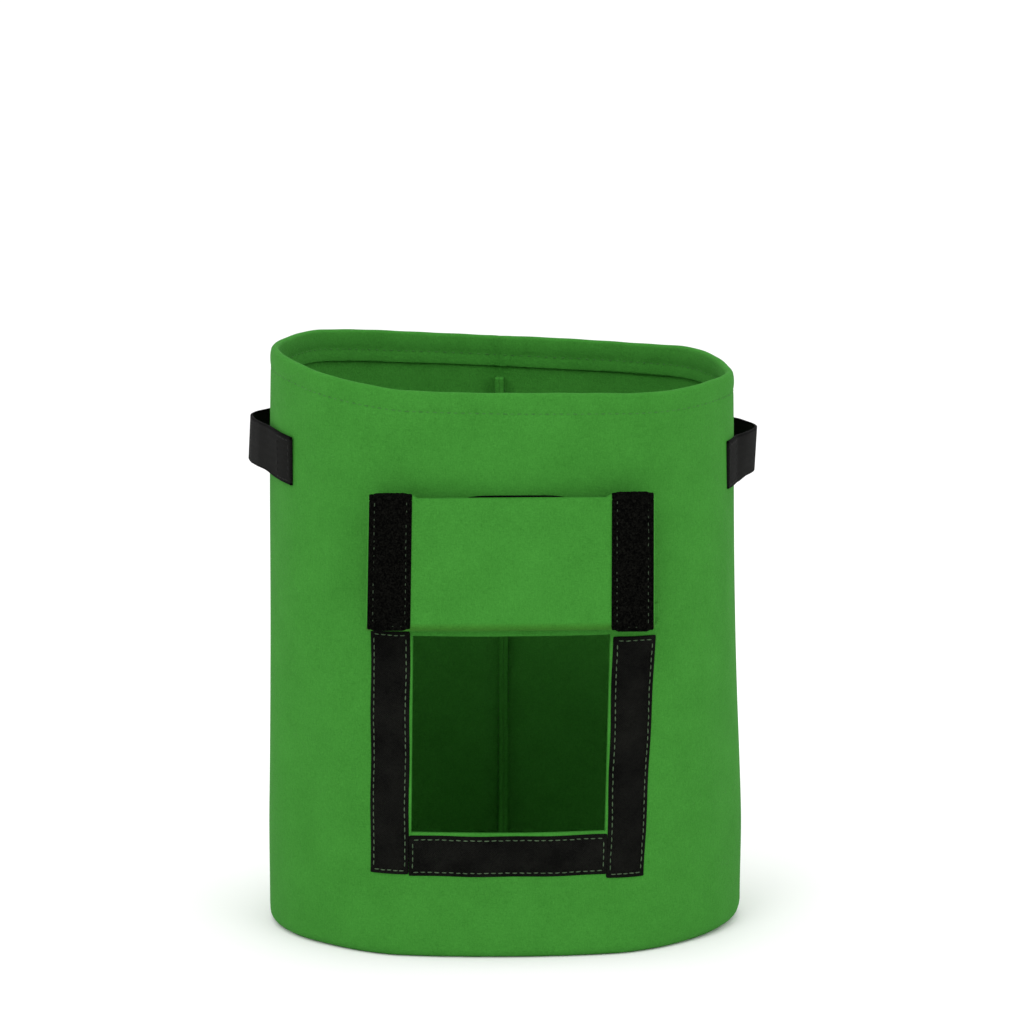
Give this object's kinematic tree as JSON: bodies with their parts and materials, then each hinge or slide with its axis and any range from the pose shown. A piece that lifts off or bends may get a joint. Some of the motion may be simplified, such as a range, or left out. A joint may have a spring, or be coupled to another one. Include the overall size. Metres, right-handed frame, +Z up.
{
  "type": "fabric grow bag",
  "caption": "Round felt planter bag with webbing side handles and a fold-down flap over a harvest window in its front.",
  "frame": {"origin": "on the floor, under the middle of the bag's width and depth", "axes": "+Z up, the window and its flap face -Y, +X to the right of a person facing the window"},
  "size_m": [0.3266, 0.2672, 0.35],
  "materials": {
    "felt": "matte needle-punched felt",
    "webbing": "woven webbing, slight sheen",
    "hook_tape": "fine hook tape, matte",
    "loop_tape": "fuzzy loop tape, matte",
    "thread": "dull grey-green sewing thread"
  },
  "bodies": {
    "bag": {"back_seam_stitching": "thread", "base_panel": "felt", "base_seam_stitching": "thread", "flap_seam_stitching": "thread", "flap_seam_strip": "felt", "handle_left_ends": "webbing", "handle_left_stitching": "thread", "handle_right_ends": "webbing", "handle_right_stitching": "thread", "rim_hem": "felt", "rim_hem_stitching": "thread", "wall_panel": "felt", "window_tape_bottom": "hook_tape", "window_tape_bottom_stitching": "thread", "window_tape_left": "hook_tape", "window_tape_left_stitching": "thread", "window_tape_right": "hook_tape", "window_tape_right_stitching": "thread"},
    "flap_upper": {"flap_upper_panel": "felt", "flap_upper_stitching": "thread", "flap_upper_tape_left": "loop_tape", "flap_upper_tape_right": "loop_tape"},
    "flap_middle": {"flap_middle_panel": "felt", "flap_middle_stitching": "thread", "flap_middle_tape_left": "loop_tape", "flap_middle_tape_right": "loop_tape"},
    "flap_lower": {"flap_lower_panel": "felt", "flap_lower_stitching": "thread", "flap_lower_tape_bottom": "loop_tape", "flap_lower_tape_left": "loop_tape", "flap_lower_tape_right": "loop_tape"},
    "handle_left": {"handle_left_loop": "webbing"},
    "handle_right": {"handle_right_loop": "webbing"}
  },
  "joints": [
    {"name": "flap_fold", "type": "hinge", "parent": "bag", "child": "flap_upper", "pos_m": [0, -0.13429, 0.204], "axis": [1, 0, 0], "range_deg": [0, 180]},
    {"name": "flap_top_fold", "type": "hinge", "parent": "flap_upper", "child": "flap_middle", "pos_m": [0, -0.13559, 0.286], "axis": [1, 0, 0], "range_deg": [0, 180]},
    {"name": "flap_inner_fold", "type": "hinge", "parent": "flap_middle", "child": "flap_lower", "pos_m": [0, -0.13157, 0.25], "axis": [-1, 0, 0], "range_deg": [0, 180]},
    {"name": "handle_left_lift", "type": "hinge", "parent": "bag", "child": "handle_left", "pos_m": [-0.13959, 0, 0.3], "axis": [0.1473, 0.9891, 0], "range_deg": [-20, 25], "stiffness_Nm_per_rad": 0.05},
    {"name": "handle_right_lift", "type": "hinge", "parent": "bag", "child": "handle_right", "pos_m": [0.13959, 0, 0.3], "axis": [0.1473, -0.9891, 0], "range_deg": [-20, 25], "stiffness_Nm_per_rad": 0.05}
  ],
  "couplings": [
    {"joint": "flap_top_fold", "follows": "flap_fold", "ratio": 1},
    {"joint": "flap_inner_fold", "follows": "flap_fold", "ratio": 1}
  ]
}
